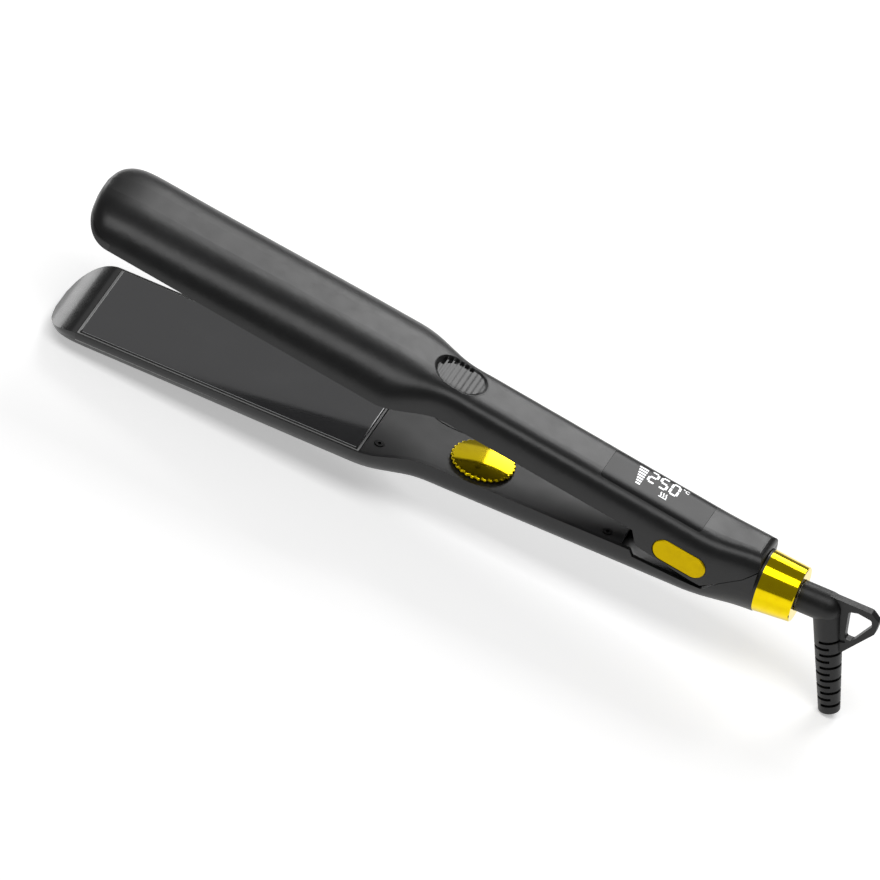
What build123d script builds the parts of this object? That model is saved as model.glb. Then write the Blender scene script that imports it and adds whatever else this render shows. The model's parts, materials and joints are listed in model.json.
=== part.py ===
"""Wide-plate flat iron: two hinged arms, floating heating plates, dial, button, swivel boot.

Millimetres. Everything is drawn in the iron's own frame and placed at the end:
x runs from the nose to the cord end, y across the arms, and z = 0 is the plane
in which the shut plates meet, with the lower arm below it. The upper arm is
drawn shut and opened about the hinge pin. The finished iron then leans on its
nose and on the end of the cord boot, which is how it stands on a table.
"""
import os
from functools import lru_cache
from math import cos, radians, sin, sqrt

from build123d import *

# ---------------------------------------------------------------- driving sizes
PLATE_LENGTH = 113.0
PLATE_WIDTH = 45.0
PLATE_THICKNESS = 2.4
PLATE_EDGE = 0.5
PLATE_CORNER = 1.0
PLATE_FLOAT = 0.8
CLOSED_GAP = 0.3
NOSE_LENGTH = 15.2
HANDLE_LENGTH = 132.0
NECK_LENGTH = 25.0
TAIL_LENGTH = 27.0
ARM_HALF_WIDTH = 24.3
HANDLE_HALF_WIDTH = 14.6
TAIL_RADIUS = 12.1
TOP_AT_NOSE = 13.6
TOP_AT_NECK = 15.9
TOP_AT_HANDLE = 13.9
TOP_AT_TAIL = 16.6
BOTTOM_AT_NOSE = 12.2
BOTTOM_AT_NECK = 13.4
BOTTOM_AT_HANDLE = 11.5
CROWN_HALF_WIDTH = 5.0
WALL = 1.8
OPEN_ANGLE = 8.7
HINGE_FROM_TAIL = 13.2
RIM_BELOW_PLATE = 0.65
HANDLE_RIM = 2.4
COLLAR_LENGTH = 14.4
COLLAR_REAR_RADIUS = 10.85
DIAL_RADIUS = 12.5
DIAL_HEIGHT = 2.6
DIAL_FLUTES = 30
BUTTON_LENGTH = 22.0
BUTTON_WIDTH = 9.2
BUTTON_TRAVEL = 0.8
WINDOW_LENGTH = 43.0
WINDOW_WIDTH = 19.0
VENT_LENGTH = 22.0
VENT_WIDTH = 17.0
VENT_SLOTS = 6
PIN_RADIUS = 2.0
BARREL_RADIUS = 5.0
BOOT_RADIUS = 6.1
BOOT_REACH = 11.2
LEG_LENGTH = 45.0
LEG_LEAN = 15.1
LEG_TOP_RADIUS = 5.8
LEG_END_RADIUS = 4.15
CORD_RADIUS = 2.6
CORD_DEPTH = 38.0
LOOP_THICKNESS = 3.4

# ------------------------------------------------------------------- clearances
SEAM_GAP = 0.25
RUN_GAP = 0.06
PART_GAP = 0.1
LOOSE_GAP = 0.3

# ------------------------------------------------------- places along the iron
PLATE_FRONT = NOSE_LENGTH
PLATE_REAR = PLATE_FRONT + PLATE_LENGTH
PLATE_MIDDLE = (PLATE_FRONT + PLATE_REAR) / 2
NECK_END = PLATE_REAR + NECK_LENGTH
TAIL_END = NECK_END + HANDLE_LENGTH
TAIL_START = TAIL_END - TAIL_LENGTH
HINGE_X = TAIL_END - HINGE_FROM_TAIL
CHEEK_X = HINGE_X - 38.0
APEX_X = HINGE_X - 7.2
APEX_Z = -4.0
SEAM_KNEE_X = TAIL_END - 6.0
SEAM_KNEE_Z = 5.0
SEAM_TOP_Z = 9.8
DIAL_X = NECK_END + 17.6
BUTTON_X = HINGE_X - 17.8
BUTTON_Z = 1.4
WINDOW_X = HINGE_X - 37.0
VENT_X = NECK_END - 2.8
COLLAR_END = TAIL_END + COLLAR_LENGTH
ELBOW_X = COLLAR_END + BOOT_REACH
PLATE_FACE = CLOSED_GAP / 2
RIM = PLATE_FACE + RIM_BELOW_PLATE
MOUTH_REACH = NOSE_LENGTH - 1.6
MOUTH_FALL = 6.0
MOUTH_STEPS = 28
MOUTH_BEND = 1.8
CHEEK_FRONT_Z = -3.1
REAR_FACE_X = TAIL_END - 1.2
REAR_TOP_Z = 15.05
REAR_CORNER = 3.4
COLLAR_SEAT_Z = TAIL_RADIUS - 0.1
FAR = 60.0

WIDTHS = (
    (PLATE_REAR, ARM_HALF_WIDTH),
    (NECK_END, HANDLE_HALF_WIDTH),
    (TAIL_START, HANDLE_HALF_WIDTH),
    (TAIL_END, TAIL_RADIUS),
)
TOPS = (
    (PLATE_FRONT, TOP_AT_NOSE),
    (PLATE_REAR, TOP_AT_NECK),
    (NECK_END, TOP_AT_HANDLE),
    (TAIL_START, TOP_AT_HANDLE),
    (TAIL_END, TOP_AT_TAIL),
)
BOTTOMS = (
    (PLATE_FRONT, BOTTOM_AT_NOSE),
    (PLATE_REAR, BOTTOM_AT_NECK),
    (NECK_END, BOTTOM_AT_HANDLE),
    (TAIL_START, BOTTOM_AT_HANDLE),
    (TAIL_END, TAIL_RADIUS),
)
TOP_FULLNESS = ((PLATE_REAR, 0.60), (NECK_END, 0.78), (TAIL_END, 0.74))
LOW_FULLNESS = ((PLATE_REAR, 0.60), (NECK_END, 0.78), (TAIL_START, 0.78), (TAIL_END, 0.56))
TOP_CROWNS = ((TAIL_START, CROWN_HALF_WIDTH), (TAIL_END, 3.6))
LOW_CROWNS = ((TAIL_START, CROWN_HALF_WIDTH), (TAIL_END, 0.8))


# ------------------------------------------------------------ the closed form
def ease(t):
    """Smooth step from 0 to 1."""
    t = min(max(t, 0.0), 1.0)
    return t * t * (3 - 2 * t)


def along(x, stations):
    """Value at x, eased from each (x, value) station to the next."""
    value = stations[0][1]
    for (x0, v0), (x1, v1) in zip(stations, stations[1:]):
        value += (v1 - v0) * ease((x - x0) / (x1 - x0))
    return value


def nose_plan(x):
    """Share of the full width at x: a squarish rounded nose seen from above."""
    t = min(max(x / NOSE_LENGTH, 0.0) + 0.012, 1.0)
    return (1 - (1 - t) ** 3) ** (1 / 3)


def nose_side(x):
    """Share of the full height at x: the outer face falls towards the tip."""
    t = min(max(x / (1.4 * NOSE_LENGTH), 0.0), 1.0)
    return 0.70 + 0.30 * sqrt(1 - (1 - t) ** 2)


def half_width(x):
    return along(x, WIDTHS) * nose_plan(x)


def top_height(x):
    return along(x, TOPS) * nose_side(x)


def bottom_height(x):
    return along(x, BOTTOMS) * nose_side(x)


def section(x, inset):
    """Closed cross-section of the shut iron at x, pulled in by inset."""
    width = half_width(x) - inset
    top_crown = along(x, TOP_CROWNS) * nose_plan(x)
    low_crown = along(x, LOW_CROWNS) * nose_plan(x)

    def corner(side, height, crown, full):
        bend = crown + (width - crown) * full
        return Bezier(
            (x, side * crown, height),
            (x, side * bend, height),
            (x, side * width, height * full),
            (x, side * width, 0),
        )

    top = (top_height(x) - inset, top_crown, along(x, TOP_FULLNESS))
    low = (inset - bottom_height(x), low_crown, along(x, LOW_FULLNESS))
    edges = [
        Line((x, -top_crown, top[0]), (x, top_crown, top[0])),
        corner(1, *top),
        corner(1, *low),
        Line((x, low_crown, low[0]), (x, -low_crown, low[0])),
        corner(-1, *low),
        corner(-1, *top),
    ]
    return Face(Wire(edges))


def spread(start, length, count):
    """Evenly spaced places, without the last one."""
    return [start + length * step / count for step in range(count)]


def stations(start, end):
    """Section places from start to end: close together where the form turns."""
    places = [NOSE_LENGTH * share for share in (0, 0.04, 0.1, 0.22, 0.4, 0.65)]
    places += spread(PLATE_FRONT, PLATE_LENGTH, 18)
    places += spread(PLATE_REAR, NECK_LENGTH, 5)
    places += spread(NECK_END, TAIL_START - NECK_END, 15)
    places += spread(TAIL_START, TAIL_LENGTH, 4)
    room = 0.8
    return [start] + [x for x in places if start + room < x < end - room] + [end]


@lru_cache(maxsize=None)
def form(inset=0.0, start=0.0, end=TAIL_END):
    """The shut iron as one solid, pulled in by inset, from start to end."""
    return loft([section(x, inset) for x in stations(start, end)])


def block(x0, x1, y0, y1, z0, z1):
    """Box between two corners."""
    centre = ((x0 + x1) / 2, (y0 + y1) / 2, (z0 + z1) / 2)
    return Pos(*centre) * Box(x1 - x0, y1 - y0, z1 - z0)


def rod(radius, start, end, end_radius=None):
    """Round bar or cone from start to end."""
    axis = Vector(*end) - Vector(*start)
    place = Plane(origin=start, z_dir=axis)
    far = radius if end_radius is None else end_radius
    if far == radius:
        body = Cylinder(radius, axis.length, align=(Align.CENTER, Align.CENTER, Align.MIN))
    else:
        body = Cone(radius, far, axis.length, align=(Align.CENTER, Align.CENTER, Align.MIN))
    return place * body


def tube(outer, bore, start, end):
    """Round bar with a hole right through it."""
    return rod(outer, start, end) - rod(bore, start, end)


def slab(face, half):
    """A side-view face pushed out to both sides of the middle plane."""
    return extrude(face, half, dir=(0, 1, 0), both=True)


def side_face(points):
    """Side-view face from (x, z) points."""
    return Plane.XZ * make_face(Polyline(*points, close=True))


# ------------------------------------------------- side views of the two arms
def turned(point, angle):
    """Side-view point turned about the hinge; a positive angle opens the arm."""
    x, z = point[0] - HINGE_X, point[1]
    c, s = cos(radians(angle)), sin(radians(angle))
    return (HINGE_X + x * c + z * s, z * c - x * s)


def quarter(radius_x, radius_z, count):
    """Points of a quarter ellipse, from its end on z to its end on x."""
    angles = [radians(90 * step / count) for step in range(count + 1)]
    return [(radius_x * sin(a), radius_z * cos(a)) for a in angles]


def mouth(sign):
    """Inner face of the nose: it falls away from the plate ever more steeply."""
    shares = [step / MOUTH_STEPS for step in range(MOUTH_STEPS + 1)]
    return [
        (MOUTH_REACH * share, sign * (RIM + MOUTH_FALL * (1 - share) ** MOUTH_BEND))
        for share in shares
    ]


def seam():
    """Rear edge of the open upper arm: up from the apex, round the top corner."""
    middle_x, middle_z = REAR_FACE_X - REAR_CORNER, REAR_TOP_Z - REAR_CORNER
    arc = quarter(REAR_CORNER, REAR_CORNER, 8)
    corner = [(middle_x + x, middle_z + z) for x, z in reversed(arc)]
    low = [(APEX_X, APEX_Z), (SEAM_KNEE_X, SEAM_KNEE_Z), (REAR_FACE_X, SEAM_TOP_Z)]
    return low + corner + [(middle_x, FAR)]


def upper_side():
    """Side view of the shut upper arm, with the cheeks that reach down at the rear."""
    front = [(-5.0, FAR), (-5.0, RIM + 6.0)] + mouth(1)
    rim = [
        (PLATE_REAR + 1, RIM),
        (NECK_END - 4, HANDLE_RIM),
        (CHEEK_X, HANDLE_RIM),
        (CHEEK_X + 3.6, CHEEK_FRONT_Z),
    ]
    rear = [turned(point, -OPEN_ANGLE) for point in seam()]
    return side_face(front + rim + rear)


def lower_side():
    """Side view of the lower arm: cleared of the upper arm over its whole swing."""
    front = [(-5.0, -FAR), (-5.0, -RIM - 6.0)] + mouth(-1)
    rear = [
        (CHEEK_X - 2, -RIM),
        (CHEEK_X + 2, -RIM),
        (CHEEK_X + 2, COLLAR_SEAT_Z),
        (TAIL_END + 5, COLLAR_SEAT_Z),
        (TAIL_END + 5, -FAR),
    ]
    face = side_face(front + rear)
    cheek = upper_side()
    pivot = Axis((HINGE_X, 0, 0), (0, 1, 0))
    for step in range(6):
        swung = cheek.rotate(pivot, OPEN_ANGLE * step / 5)
        face -= offset(swung, SEAM_GAP)
    return face


LOWER_SIDE = slab(lower_side(), FAR)
UPPER_SIDE = slab(upper_side(), FAR)
CAVITY = form(WALL, 3.0, TAIL_END - 2.5)
UPPER_CAVITY = form(WALL, 3.0, TAIL_END - 5.5)

POCKET_HALF = ARM_HALF_WIDTH - 0.9
FRAME_WALL = 0.75
POCKET_FRONT = PLATE_FRONT - 1.0
POCKET_REAR = PLATE_REAR + 1.2
POCKET_DEPTH = 4.4
CAP_FRONT_Z = 7.6
CAP_REAR_Z = 3.2
GUIDES = (PLATE_FRONT + 26.0, PLATE_REAR - 26.0)
GUIDE_RADIUS = 1.5
BOSS_RADIUS = 3.2
CLAMP_Z = PLATE_FACE + PLATE_THICKNESS + 1.8
CLAMP_THICKNESS = 1.2
BOSS_TOP_Z = CLAMP_Z + CLAMP_THICKNESS + PLATE_FLOAT + 0.5
COVER_TOP = RIM + 0.2
COVER_THICKNESS = 1.8


# --------------------------------------------- pieces that both arms have
def nose_zone(sign):
    """Region of the tip cap, with its sloping parting line."""
    face = side_face(
        [
            (-1.0, 0.0),
            (-1.0, sign * CAP_FRONT_Z),
            (POCKET_FRONT, sign * CAP_REAR_Z),
            (POCKET_FRONT, 0.0),
        ]
    )
    return slab(face, FAR)


def plate_pocket(sign):
    """Rectangular pocket that the floating plate and its frame sit in."""
    low, high = sorted((sign * POCKET_DEPTH, 0.0))
    return block(POCKET_FRONT, POCKET_REAR, -POCKET_HALF, POCKET_HALF, low, high)


def arm_shell(sign, side, cavity):
    """Outer housing of one arm: wall, plate pocket and the sockets that guide the plate."""
    shell = form() & side
    shell -= cavity
    shell -= plate_pocket(sign)
    shell -= nose_zone(sign)
    for x in GUIDES:
        floor = (bottom_height(x) if sign < 0 else top_height(x)) - WALL / 2
        boss = rod(BOSS_RADIUS, (x, 0, sign * floor), (x, 0, sign * BOSS_TOP_Z))
        shell += boss
        socket_floor = sign * (floor - 1.2)
        shell -= rod(GUIDE_RADIUS + PART_GAP, (x, 0, socket_floor), (x, 0, 0))
    return shell


def tip_cap(sign, side):
    return (form() & side) & nose_zone(sign)


def heating_plate(sign):
    """Ceramic-coated aluminium plate with softened edges."""
    plate = Box(PLATE_LENGTH, PLATE_WIDTH, PLATE_THICKNESS)
    plate = fillet(plate.edges().filter_by(Axis.Z), PLATE_CORNER)
    plate = fillet(plate.edges().group_by(Axis.Z)[-1 if sign < 0 else 0], PLATE_EDGE)
    return Pos(PLATE_MIDDLE, 0, sign * (PLATE_FACE + PLATE_THICKNESS / 2)) * plate


def plate_frame(sign):
    """Thin carrier strip round the plate, standing in the pocket."""
    outer_x = PLATE_LENGTH / 2 + PART_GAP + FRAME_WALL
    outer_y = PLATE_WIDTH / 2 + PART_GAP + FRAME_WALL
    height = POCKET_DEPTH - RIM - 0.1
    frame = Box(2 * outer_x, 2 * outer_y, height)
    frame -= Box(2 * (outer_x - FRAME_WALL), 2 * (outer_y - FRAME_WALL), height)
    return Pos(PLATE_MIDDLE, 0, sign * (POCKET_DEPTH - height / 2)) * frame


def heater(sign):
    """Ceramic heater strip bonded under the plate."""
    low = sign * (PLATE_FACE + PLATE_THICKNESS)
    high = low + sign * 1.4
    return block(PLATE_FRONT + 16, PLATE_REAR - 16, -6, 6, *sorted((low, high)))


def insulation(sign):
    """Mica sheet between heater and clamp."""
    low = sign * (PLATE_FACE + PLATE_THICKNESS + 1.4)
    high = low + sign * 0.4
    return block(PLATE_FRONT + 12, PLATE_REAR - 12, -10, 10, *sorted((low, high)))


def clamp(sign):
    """Pressed strip that holds the heater and carries the two guide posts."""
    low, high = sign * CLAMP_Z, sign * (CLAMP_Z + CLAMP_THICKNESS)
    body = block(PLATE_FRONT + 12, PLATE_REAR - 12, -10, 10, *sorted((low, high)))
    for x in GUIDES:
        body += rod(GUIDE_RADIUS, (x, 0, high), (x, 0, high + sign * 3.2))
    return body


def sensor(sign):
    """Temperature sensor bead against the back of the plate."""
    low = sign * (PLATE_FACE + PLATE_THICKNESS)
    high = low + sign * 1.6
    return block(PLATE_MIDDLE - 3, PLATE_MIDDLE + 3, 12, 15, *sorted((low, high)))


def coil(radius, wire, height, turns):
    """Coil spring standing on z = 0."""
    path = Helix(pitch=height / turns, height=height, radius=radius)
    return sweep(Plane(origin=path @ 0, z_dir=path % 0) * Circle(wire), path=path, is_frenet=True)


def plate_springs(sign):
    """Two coil springs that push the plate out."""
    wire, radius = 0.4, BOSS_RADIUS + 0.8
    start = CLAMP_Z + CLAMP_THICKNESS + wire + 0.05
    springs = []
    for x in GUIDES:
        floor = (bottom_height(x) if sign < 0 else top_height(x)) - WALL - wire - 0.15
        spring = coil(radius, wire, floor - start, 3.5)
        if sign < 0:
            springs.append(Pos(x, 0, -floor) * spring)
        else:
            springs.append(Pos(x, 0, start) * spring)
    return Compound(children=springs)


def screw(x, y, seat, sign):
    """Small pan-head screw whose head sits on seat and points into the shell."""
    head = rod(1.9, (x, y, seat), (x, y, seat - sign * 1.3))
    drive = rod(0.7, (x, y, seat - sign * 1.3), (x, y, seat - sign * 0.6))
    shank = rod(1.1, (x, y, seat), (x, y, seat + sign * 4.6))
    return head + shank - drive


def screw_post(x, y, sign, seat):
    """Post from the shell wall up to the cover, with the screw's pilot hole."""
    floor = (bottom_height(x) if sign < 0 else top_height(x)) - WALL / 2
    post = rod(2.6, (x, y, sign * floor), (x, y, sign * seat))
    return post & form(WALL / 2, 3.0, TAIL_END - 3.0)


LOWER_SCREWS = [(PLATE_REAR + 5.8, y) for y in (-13.7, 13.7)]
LOWER_SCREWS += [(CHEEK_X - 9.0, y) for y in (-9.0, 9.0)]
UPPER_SCREWS = [(VENT_X + VENT_LENGTH / 2 + 4.0, y) for y in (-9.0, 9.0)]
UPPER_SCREWS += [(WINDOW_X - WINDOW_LENGTH / 2 - 8.0, y) for y in (-9.0, 9.0)]


def inner_cover(sign, top, rear, screws):
    """Flat lid that closes the inside of the handle, screwed to the shell."""
    body = form(WALL + PART_GAP, 3.0, TAIL_END - 3.0)
    low, high = sorted((sign * top, sign * (top + COVER_THICKNESS)))
    lid = body & block(POCKET_REAR + PART_GAP, rear, -FAR, FAR, low, high)
    for x, y in screws:
        lid -= rod(2.0, (x, y, sign * top), (x, y, sign * (top + 1.0)))
        lid -= rod(1.2, (x, y, 0), (x, y, sign * (top + COVER_THICKNESS)))
    return lid


def add_posts(shell, sign, top, screws):
    """Screw posts under the cover."""
    for x, y in screws:
        shell += screw_post(x, y, sign, top + COVER_THICKNESS)
        seat = top + COVER_THICKNESS
        shell -= rod(1.15, (x, y, sign * seat), (x, y, sign * (seat + 5.0)))
    return shell


def cover_screws(sign, top, screws):
    return Compound(children=[screw(x, y, sign * (top + 1.0), sign) for x, y in screws])


# ------------------------------------------------------------------- lower arm
def lower_pieces():
    """Everything that stays with the lower arm, plus its floating plate."""
    pieces = {}
    cover_rear = CHEEK_X - 2.6
    shell = arm_shell(-1, LOWER_SIDE, CAVITY)
    shell -= rod(BARREL_RADIUS + RUN_GAP, (TAIL_END - 5, 0, 0), (TAIL_END + 5, 0, 0))
    seat = tube(FAR, TAIL_RADIUS, (REAR_FACE_X, 0, 0), (TAIL_END + 1, 0, 0))
    shell -= seat & block(REAR_FACE_X, TAIL_END + 1, -FAR, FAR, 0, FAR)
    shell = add_posts(shell, -1, COVER_TOP, LOWER_SCREWS)
    pieces["lower_shell"] = shell
    pieces["lower_tip_cap"] = tip_cap(-1, LOWER_SIDE)
    lid = inner_cover(-1, COVER_TOP, cover_rear, LOWER_SCREWS)
    lid -= rod(SHAFT_RADIUS + 0.6, (DIAL_X, 0, 0), (DIAL_X, 0, -10))
    pieces["lower_inner_cover"] = lid
    pieces["lower_cover_screws"] = cover_screws(-1, COVER_TOP, LOWER_SCREWS)
    pieces["lower_plate_frame"] = plate_frame(-1)
    pieces["lower_plate_springs"] = plate_springs(-1)
    pieces["lower_plate"] = heating_plate(-1)
    pieces["lower_heater"] = heater(-1)
    pieces["lower_insulation"] = insulation(-1)
    pieces["lower_heater_clamp"] = clamp(-1)
    pieces["lower_sensor"] = sensor(-1)
    return pieces


SHAFT_RADIUS = 2.5
ENCODER_TOP = COVER_TOP + COVER_THICKNESS + PART_GAP
ENCODER_HEIGHT = 4.6
DIAL_FLOOR = -COVER_TOP + LOOSE_GAP


def dial_pieces():
    """Gold knob on its shaft, and the encoder and board that read it."""
    top = DIAL_FLOOR + DIAL_HEIGHT
    knob = rod(DIAL_RADIUS, (0, 0, DIAL_FLOOR), (0, 0, top))
    knob = chamfer(knob.edges().group_by(Axis.Z)[-1], 0.5)
    flute = Pos(DIAL_RADIUS + 0.25, 0, (DIAL_FLOOR + top) / 2) * Cylinder(0.62, 2 * DIAL_HEIGHT)
    for turn in range(DIAL_FLUTES):
        knob -= Rot(0, 0, 360 * turn / DIAL_FLUTES) * flute
    dish_radius = 60.0
    knob -= Pos(0, 0, top - 0.5 + dish_radius) * Sphere(dish_radius)
    shaft_low = -ENCODER_TOP - ENCODER_HEIGHT + 1.0
    shaft_high = DIAL_FLOOR + 1.2
    knob -= rod(SHAFT_RADIUS, (0, 0, DIAL_FLOOR), (0, 0, shaft_high))
    shaft = rod(SHAFT_RADIUS, (0, 0, shaft_low), (0, 0, shaft_high))
    encoder = block(-6.5, 6.5, -6.5, 6.5, -ENCODER_TOP - ENCODER_HEIGHT, -ENCODER_TOP)
    encoder -= rod(SHAFT_RADIUS + RUN_GAP, (0, 0, shaft_low - 0.3), (0, 0, 0))
    board_top = -ENCODER_TOP - ENCODER_HEIGHT
    board = block(-16, 16, -7.5, 7.5, board_top - 1.0, board_top)
    place = Pos(DIAL_X, 0, 0)
    return {
        "dial_knob": place * knob,
        "dial_shaft": place * shaft,
        "dial_encoder": place * encoder,
        "dial_board": place * board,
    }


# ----------------------------------------------------------- hinge and collar
BLOCK_HALF = 3.4
EAR_NEAR = 7.0
EAR_FAR = 8.8
KNUCKLE_RADIUS = 4.2
BRACKET_Z = 7.0
BRACKET_THICKNESS = 1.6
BRACKET_REACH = 16.0


def hinge_pieces():
    """Pin, block on the lower arm, and the coil that springs the arms apart."""
    bore = rod(PIN_RADIUS, (HINGE_X, -FAR, 0), (HINGE_X, FAR, 0))
    floor = -(BOTTOM_AT_HANDLE - WALL - LOOSE_GAP)
    knuckle = rod(KNUCKLE_RADIUS, (HINGE_X, -BLOCK_HALF, 0), (HINGE_X, BLOCK_HALF, 0))
    stem = block(
        HINGE_X - KNUCKLE_RADIUS, HINGE_X + KNUCKLE_RADIUS, -BLOCK_HALF, BLOCK_HALF, floor, 0
    )
    foot = block(HINGE_X - 12, HINGE_X + KNUCKLE_RADIUS, -4.4, 4.4, floor, floor + 1.6)
    pin = rod(PIN_RADIUS, (HINGE_X, -10.4, 0), (HINGE_X, 10.4, 0))
    clips = []
    for side in (-1, 1):
        near, far = side * (EAR_FAR + 0.2), side * (EAR_FAR + 0.9)
        clips.append(tube(3.2, PIN_RADIUS, (HINGE_X, near, 0), (HINGE_X, far, 0)))
    coils = []
    for side in (-1, 1):
        spring = coil(PIN_RADIUS + 0.9, 0.4, 2.4, 3.0)
        start = BLOCK_HALF + 0.55 if side > 0 else -BLOCK_HALF - 2.95
        coils.append(Pos(HINGE_X, start, 0) * (Rot(-90, 0, 0) * spring))
    return {
        "hinge_block": knuckle + stem + foot - bore,
        "hinge_pin": pin,
        "hinge_clips": Compound(children=clips),
        "hinge_spring": Compound(children=coils),
    }


def hinge_bracket():
    """Two ears on a plate, fixed to the upper arm and turning on the pin."""
    reach = KNUCKLE_RADIUS
    front = HINGE_X - BRACKET_REACH
    top = BRACKET_Z + BRACKET_THICKNESS
    body = block(HINGE_X - reach, HINGE_X + reach, -EAR_FAR, EAR_FAR, BRACKET_Z, top)
    body += block(front, HINGE_X, -5.5, 5.5, BRACKET_Z, top)
    body += block(front, front + 7.0, -3.5, 3.5, top, TOP_AT_HANDLE - WALL - 0.05)
    for side in (-1, 1):
        near, far = sorted((side * EAR_NEAR, side * EAR_FAR))
        ear = rod(reach, (HINGE_X, near, 0), (HINGE_X, far, 0))
        ear += block(HINGE_X - reach, HINGE_X + reach, near, far, 0, BRACKET_Z)
        body += ear
    return body - rod(PIN_RADIUS + RUN_GAP, (HINGE_X, -FAR, 0), (HINGE_X, FAR, 0))


FLANGE_RADIUS = 8.2
FLANGE_FRONT = TAIL_END + 1.2
FLANGE_REAR = FLANGE_FRONT + 2.0
COLLAR_BORE = 9.0
COLLAR_BACK = 1.9
ROTOR_FRONT = HINGE_X + KNUCKLE_RADIUS + 1.2


def collar_ring():
    """Gold cone-shaped collar, hollow, with the neck hole at its rear."""
    ring = rod(TAIL_RADIUS, (TAIL_END, 0, 0), (COLLAR_END, 0, 0), COLLAR_REAR_RADIUS)
    ring = chamfer(ring.edges().group_by(Axis.X)[-1], 0.3)
    ring -= rod(COLLAR_BORE, (TAIL_END, 0, 0), (COLLAR_END - COLLAR_BACK, 0, 0))
    return ring - rod(BOOT_RADIUS + 0.15, (TAIL_END, 0, 0), (COLLAR_END + 1, 0, 0))


def swivel_bush():
    """Plain bush pressed in the collar; the barrel turns in it and its flange stops on it."""
    start, end = FLANGE_REAR + 0.15, COLLAR_END - COLLAR_BACK
    return tube(COLLAR_BORE, BARREL_RADIUS + RUN_GAP, (start, 0, 0), (end, 0, 0))


def brush_block():
    """Holder of the two contact brushes, under the slip rings."""
    start, end = ROTOR_FRONT + 0.2, TAIL_END - 2.6
    low = -(TAIL_RADIUS - WALL - 1.6)
    return block(start, end, -4.5, 4.5, low, -BARREL_RADIUS - 0.5)


# --------------------------------------------------------------- swivel and boot
def slip_rings():
    """Two copper bands on the front end of the barrel."""
    bands = []
    for start in (ROTOR_FRONT + 0.5, ROTOR_FRONT + 2.6):
        bands.append(tube(BARREL_RADIUS, BARREL_RADIUS - 0.6, (start, 0, 0), (start + 1.2, 0, 0)))
    return Compound(children=bands)


def swivel_barrel():
    """Hollow hard-plastic barrel that the rubber boot is moulded on."""
    end = COLLAR_END + 6.0
    barrel = rod(BARREL_RADIUS, (ROTOR_FRONT, 0, 0), (end, 0, 0))
    barrel += rod(FLANGE_RADIUS, (FLANGE_FRONT, 0, 0), (FLANGE_REAR, 0, 0))
    barrel -= rod(CORD_RADIUS - 0.2, (ROTOR_FRONT - 1, 0, 0), (end, 0, 0))
    for start in (ROTOR_FRONT + 0.5, ROTOR_FRONT + 2.6):
        groove = tube(BARREL_RADIUS + 1, BARREL_RADIUS - 0.6, (start, 0, 0), (start + 1.2, 0, 0))
        barrel -= groove
    return barrel


LEG_AXIS = Vector(sin(radians(LEG_LEAN)), 0, -cos(radians(LEG_LEAN)))
ELBOW = Vector(ELBOW_X, 0, 0)
LEG_END = ELBOW + LEG_AXIS * LEG_LENGTH
GROOVES = 11
GROOVE_PITCH = 2.8
GROOVE_WIDTH = 1.15
GROOVE_DEPTH = 1.1


def cord_boot():
    """Rubber elbow and ribbed leg with a hanging loop and the bore for the cord."""
    body = rod(BOOT_RADIUS, (COLLAR_END + 0.3, 0, 0), (ELBOW_X, 0, 0))
    body += Pos(ELBOW_X, 0, 0) * Sphere(BOOT_RADIUS)
    leg = rod(LEG_TOP_RADIUS, tuple(ELBOW), tuple(LEG_END), LEG_END_RADIUS)
    leg = fillet(leg.edges().sort_by(Axis.Z)[0], 1.0)
    body += leg
    body += loop_plate()
    taper = (LEG_TOP_RADIUS - LEG_END_RADIUS) / LEG_LENGTH
    for index in range(GROOVES):
        reach = LEG_LENGTH - 4.0 - GROOVE_PITCH * index
        radius = LEG_TOP_RADIUS - taper * reach
        spot = ELBOW + LEG_AXIS * reach
        ring = Cylinder(radius + 2, GROOVE_WIDTH)
        ring -= Cylinder(radius - GROOVE_DEPTH, GROOVE_WIDTH)
        side = 1 if index % 2 else -1
        ring -= Pos(side * (radius + 2), 0, 0) * Box(2 * radius, 4 * radius, 2 * GROOVE_WIDTH)
        body -= Pos(spot.X, 0, spot.Z) * (Rot(0, -LEG_LEAN, 0) * ring)
    start = LEG_END - LEG_AXIS * CORD_DEPTH
    body -= rod(CORD_RADIUS, tuple(start), tuple(LEG_END + LEG_AXIS))
    return body - rod(BARREL_RADIUS, (COLLAR_END - 1, 0, 0), (COLLAR_END + 6.0, 0, 0))


LOOP_FOOT = 17.5
LOOP_EDGE = ((0, 6.0), (16.8, 5.9), (20.6, 2.9), (20.1, -2.4), (9.2, -16.9))
LOOP_EYE = ((8.4, 2.6), (12.0, 3.6), (17.6, 2.8), (18.4, 0.4), (12.6, -9.4), (9.7, -9.4))


def loop_plate():
    """Flat triangular hanging loop in the plane of the elbow."""
    foot = ELBOW + LEG_AXIS * LOOP_FOOT
    edge = [(ELBOW_X + x, z) for x, z in LOOP_EDGE]
    outline = make_face(Polyline(*edge, (foot.X, foot.Z), (ELBOW_X, 0), close=True))
    rounded = [v for v in outline.vertices() if v.X > ELBOW_X + 14]
    face = Plane.XZ * fillet(rounded, 1.6)
    eye = make_face(Polyline(*[(ELBOW_X + x, z) for x, z in LOOP_EYE], close=True))
    window = Plane.XZ * fillet(eye.vertices(), 1.0)
    return slab(face, LOOP_THICKNESS / 2) - slab(window, LOOP_THICKNESS)


# ------------------------------------------------------------------- upper arm
UPPER_COVER_TOP = HANDLE_RIM + 0.6
LENS_THICKNESS = 1.2
GRILLE_RECESS = 0.9
GRILLE_THICKNESS = 1.5
BUTTON_FACE = HANDLE_HALF_WIDTH + 0.1
BUTTON_FLANGE = 0.7


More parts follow.
